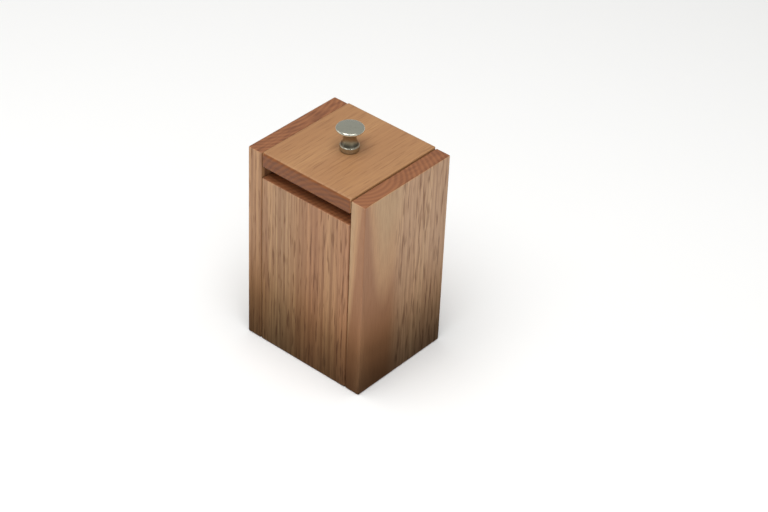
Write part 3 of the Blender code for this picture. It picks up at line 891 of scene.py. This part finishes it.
def cut_cover_screw(node, brass):
    """A countersunk wood screw, its head down, its point up in the block."""
    settings = joinery()
    low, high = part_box(node)
    middle, head = node_middle(node), (high[0] - low[0]) / 2
    radius, cone = settings.wood_screw_radius, settings.wood_screw_head_height
    tip, bottom, top = high[2] - settings.wood_screw_tip, low[2], high[2]
    step = settings.thread_pitch / THREAD_STEPS
    shank = straight((radius, tip), (radius, bottom + cone), step)
    point = (radius * SCREW_POINT_SHARE, top - SCREW_POINT_HEIGHT)
    profile = [(0.0, top), point] + shank
    profile += [(head, bottom + cone * SCREW_CONE_START), (head, bottom + SCREW_LAND),
                (head - SCREW_LAND, bottom), (0.0, bottom)]
    bm = turned(profile, settings.screw_steps)
    cut_thread(bm, radius, bottom + cone * SCREW_THREAD_START, top, settings.thread_pitch,
               settings.thread_depth)
    bmesh.ops.translate(bm, verts=bm.verts, vec=(middle.x, middle.y, 0.0))
    slotted = carved(bm, slot_cutter(middle, bottom, 2 * head, cone / 2, cone / 2))
    finish_piece(node + "_cut", slotted, [brass], node, "lid", weighted=False)


class PUZZLEBOX_OT_screws(bpy.types.Operator):
    """Make the spindle screw and the four wood screws in the lock cover"""

    bl_idname = "puzzlebox.screws"
    bl_label = "Screws"
    bl_options = {"REGISTER", "UNDO"}

    def execute(self, context):
        steel = turned_metal("screw_steel", tuple(finishes().steel), 0.30, SCREW_LINE_SCALE)
        brass = turned_metal("screw_brass", tuple(finishes().brass), 0.28, SCREW_LINE_SCALE)
        cut_spindle(steel)
        for corner in CORNERS:
            cut_cover_screw("cover_screw_" + corner, brass)
        return {"FINISHED"}


def ring_piece(node, body, material):
    """A bush or washer with a little taken off its edges."""
    settings = joinery()
    low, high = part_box(node)
    outer, inner, edge = (high[0] - low[0]) / 2, settings.knob_socket_radius, settings.ring_edge
    bottom, top = low[2], high[2]
    profile = [(inner, bottom + edge), (inner + edge, bottom), (outer - edge, bottom),
               (outer, bottom + edge), (outer, top - edge), (outer - edge, top),
               (inner + edge, top), (inner, top - edge)]
    bm = turned(profile, settings.screw_steps * 2, closed=True)
    finish_piece(node + "_turned", bm, [material], node, body)


def pin_piece(node, body, steel):
    """A lock pin with rounded ends, lying front to back."""
    low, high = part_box(node)
    middle = node_middle(node)
    radius, half, edge = (high[2] - low[2]) / 2, (high[1] - low[1]) / 2, joinery().pin_edge
    nose = arc((radius - edge, half - edge), edge, 90, 0, EDGE_STEPS)
    tail = [(reach, -height) for reach, height in reversed(nose)]
    bm = turned([(0.0, half)] + nose + tail + [(0.0, -half)], joinery().screw_steps)
    lay_down = Matrix.Translation(middle) @ Matrix.Rotation(math.pi / 2, 4, "X")
    bmesh.ops.transform(bm, matrix=lay_down, verts=bm.verts)
    finish_piece(node + "_turned", bm, [steel], node, body, weighted=False)


class PUZZLEBOX_OT_turned_parts(bpy.types.Operator):
    """Turn the bush, the washer and the four lock pins"""

    bl_idname = "puzzlebox.turned_parts"
    bl_label = "Bush, washer and pins"
    bl_options = {"REGISTER", "UNDO"}

    def execute(self, context):
        brass = turned_metal("turned_brass", tuple(finishes().brass), 0.30, RING_LINE_SCALE)
        steel = machined_metal("pin_steel", tuple(finishes().steel), 0.22, "Y")
        ring_piece("spindle_bush", "lid", brass)
        ring_piece("thrust_washer", "knob", brass)
        for corner in CORNERS:
            pin_piece("lock_pin_" + corner, "pin_" + corner, steel)
        return {"FINISHED"}


class PUZZLEBOX_OT_metalwork(bpy.types.Operator):
    """Finish the bolts, pegs, cam disc and clamp nut"""

    bl_idname = "puzzlebox.metalwork"
    bl_label = "Metalwork"
    bl_options = {"REGISTER", "UNDO"}

    def execute(self, context):
        brass = machined_metal("satin_brass", tuple(finishes().brass), 0.3, "X")
        steel = machined_metal("machined_steel", tuple(finishes().steel), 0.32, "Y")
        finish_of = {"left_bolt": brass, "right_bolt": brass, "left_drive_peg": steel,
                     "right_drive_peg": steel, "cam_disc": steel, "clamp_nut": steel}
        for node, material in finish_of.items():
            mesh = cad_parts[node].data
            mesh.materials.clear()
            mesh.materials.append(material)
        return {"FINISHED"}


# ------------------------------------------------------------------ studio

def add_softbox(name, location, size, power):
    light = bpy.data.lights.new(name, "AREA")
    light.shape = "RECTANGLE"
    light.size, light.size_y = size
    light.energy = power
    item = bpy.data.objects.new(name, light)
    item.location = location
    line = Vector(LIGHT_AIM) - Vector(location)
    item.rotation_euler = line.to_track_quat("-Z", "Y").to_euler()
    bpy.context.scene.collection.objects.link(item)


def bearing(azimuth, elevation):
    """The direction that lies round to the right of the front and up from level."""
    return Vector((math.sin(azimuth) * math.cos(elevation),
                   -math.cos(azimuth) * math.cos(elevation), math.sin(elevation)))


def add_camera():
    """Stand the camera on its bearing, turned by its roll and slid off its aim."""
    settings = studio()
    low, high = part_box("left_panel")
    aim = Vector((0.0, 0.0, (low.z + high.z) / 2))
    back = bearing(settings.azimuth, settings.elevation)
    level = Vector((math.cos(settings.azimuth), math.sin(settings.azimuth), 0.0))
    upright = back.cross(level)
    roll = Matrix.Rotation(settings.roll, 3, back)
    right, up = roll @ level, roll @ upright
    camera = bpy.data.cameras.new("camera")
    camera.lens = settings.lens
    camera.sensor_width = SENSOR_WIDTH
    camera.clip_start = CLIP_START
    item = bpy.data.objects.new("camera", camera)
    location = aim + back * settings.distance
    location = location + right * settings.slide_right + up * settings.slide_up
    turn = Matrix((right, up, back)).transposed().to_4x4()
    item.matrix_world = Matrix.Translation(location) @ turn
    bpy.context.scene.collection.objects.link(item)
    bpy.context.scene.camera = item


def one_sided(finish, fade=0.0):
    """Let a stage surface be seen through from its back, and where it fades out."""
    back = Value(finish, finish.add("ShaderNodeNewGeometry").outputs["Backfacing"])
    clear = finish.add("ShaderNodeBsdfTransparent").outputs[0]
    amount = 1.0 - (1.0 - back) * (1.0 - fade)
    solid = finish.shader.outputs[0]
    cover = finish.add("ShaderNodeMixShader", values={0: amount, 1: solid, 2: clear})
    finish.feed(finish.tree.nodes["Material Output"].inputs["Surface"], cover.outputs[0])


def add_floor():
    """A wide pale sheet, open from below so that the box's underside can be looked at."""
    bm = bmesh.new()
    bmesh.ops.create_grid(bm, x_segments=FLOOR_SEGMENTS, y_segments=FLOOR_SEGMENTS,
                          size=FLOOR_HALF)
    paper = Finish("floor_paper")
    fleck = paper.noise(paper.place(), scale=PAPER_FLECK_SCALE)
    tone = paper.mix(fleck * PAPER_FLECK_SHARE, PAPER_LIGHT, PAPER_DARK)
    paper.set(Base_Color=tone, Roughness=0.9)
    one_sided(paper)
    floor = loose_object("floor", bm)
    floor.data.materials.append(paper.material)
    floor.location.z = -FLOOR_DROP


def add_floor_flag():
    """A dark skirt that keeps low light off the foot of the box, hidden from the camera."""
    settings = studio()
    rise, brim_rise = settings.flag_rise, settings.flag_brim_rise
    half_width, half_depth = CAD_BOX[1][0], CAD_BOX[1][1]
    ground = Matrix.Translation((0.0, 0.0, FLOOR_DROP))
    footprint = ground @ Matrix.Diagonal((half_width, half_depth, 1.0, 1.0))
    bm = bmesh.new()
    bmesh.ops.create_grid(bm, x_segments=1, y_segments=1, size=1.0, matrix=footprint)
    for out, up in ((settings.flag_spread, rise), (settings.flag_brim, brim_rise)):
        rim = [edge for edge in bm.edges if edge.is_boundary]
        grown = bmesh.ops.extrude_edge_only(bm, edges=rim)["geom"]
        for vert in [item for item in grown if isinstance(item, bmesh.types.BMVert)]:
            vert.co.x += math.copysign(out, vert.co.x)
            vert.co.y += math.copysign(out, vert.co.y)
            vert.co.z += up
    bmesh.ops.recalc_face_normals(bm, faces=bm.faces)
    bm.normal_update()
    if sum(face.normal.z for face in bm.faces) < 0.0:
        bmesh.ops.reverse_faces(bm, faces=bm.faces)
    card = Finish("flag_card")
    card.set(Base_Color=CARD_BLACK, Roughness=1.0, Specular_IOR_Level=0.0)
    top = FLOOR_DROP + rise
    one_sided(card, card.axes()["Z"].step(top, top + brim_rise))
    flag = loose_object("floor_flag", bm)
    flag.data.materials.append(card.material)
    flag.visible_camera = False


def add_overhead_flag():
    """A dark card under the key light, seen only in polished metal as its dark heart."""
    settings = studio()
    bm = bmesh.new()
    bmesh.ops.create_circle(bm, cap_ends=True, segments=CARD_SEGMENTS, radius=settings.card_radius)
    cloth = Finish("black_cloth")
    cloth.set(Base_Color=CLOTH_BLACK, Roughness=1.0)
    card = loose_object("overhead_flag", bm)
    card.data.materials.append(cloth.material)
    toward = bearing(settings.azimuth, settings.card_elevation)
    card.location = toward * settings.card_distance
    card.rotation_euler = toward.to_track_quat("Z", "Y").to_euler()
    card.visible_camera = False
    card.visible_shadow = False
    card.visible_diffuse = False


def add_room_light():
    """Even, slightly warm light from all round."""
    world = bpy.data.worlds.new("studio")
    world.use_nodes = True
    background = world.node_tree.nodes["Background"]
    background.inputs["Color"].default_value = ROOM_TINT
    background.inputs["Strength"].default_value = studio().ambient
    bpy.context.scene.world = world


class PUZZLEBOX_OT_stage(bpy.types.Operator):
    """Lay the floor, hang the softboxes and stand the camera"""

    bl_idname = "puzzlebox.stage"
    bl_label = "Stage"
    bl_options = {"REGISTER", "UNDO"}

    def execute(self, context):
        settings = studio()
        add_camera()
        add_floor()
        add_floor_flag()
        add_overhead_flag()
        add_softbox("key_softbox", KEY_PLACE, KEY_SIZE, settings.key_power)
        add_softbox("left_softbox", LEFT_PLACE, FILL_SIZE, settings.fill_power)
        add_softbox("right_softbox", RIGHT_PLACE, FILL_SIZE, RIGHT_SHARE * settings.fill_power)
        add_room_light()
        context.scene.view_settings.view_transform = "Standard"
        return {"FINISHED"}


OPERATORS = (
    PUZZLEBOX_OT_walls,
    PUZZLEBOX_OT_lid,
    PUZZLEBOX_OT_inner_boards,
    PUZZLEBOX_OT_plugs,
    PUZZLEBOX_OT_knob,
    PUZZLEBOX_OT_screws,
    PUZZLEBOX_OT_turned_parts,
    PUZZLEBOX_OT_metalwork,
    PUZZLEBOX_OT_stage,
)


class PUZZLEBOX_PT_sidebar(bpy.types.Panel):
    """Lists the pieces in the 3D view's sidebar"""

    bl_idname = "PUZZLEBOX_PT_sidebar"
    bl_label = "Puzzle Box"
    bl_space_type = "VIEW_3D"
    bl_region_type = "UI"
    bl_category = "Puzzle Box"

    def draw(self, context):
        for operator in OPERATORS:
            self.layout.operator(operator.bl_idname)
        for settings in (joinery(), finishes(), studio()):
            column = self.layout.box().column()
            for key in settings.__annotations__:
                column.prop(settings, key)


SETTINGS = {
    "puzzle_box_joinery": PuzzleBoxJoinery,
    "puzzle_box_finishes": PuzzleBoxFinishes,
    "puzzle_box_studio": PuzzleBoxStudio,
}


def register():
    for key, group in SETTINGS.items():
        bpy.utils.register_class(group)
        setattr(bpy.types.Scene, key, PointerProperty(type=group))
    for operator in OPERATORS:
        bpy.utils.register_class(operator)
    bpy.utils.register_class(PUZZLEBOX_PT_sidebar)


def unregister():
    bpy.utils.unregister_class(PUZZLEBOX_PT_sidebar)
    for operator in reversed(OPERATORS):
        bpy.utils.unregister_class(operator)
    for key, group in SETTINGS.items():
        delattr(bpy.types.Scene, key)
        bpy.utils.unregister_class(group)


def main():
    register()
    for operator in OPERATORS:
        section, name = operator.bl_idname.split(".")
        getattr(getattr(bpy.ops, section), name)()


if __name__ == "__main__":
    main()
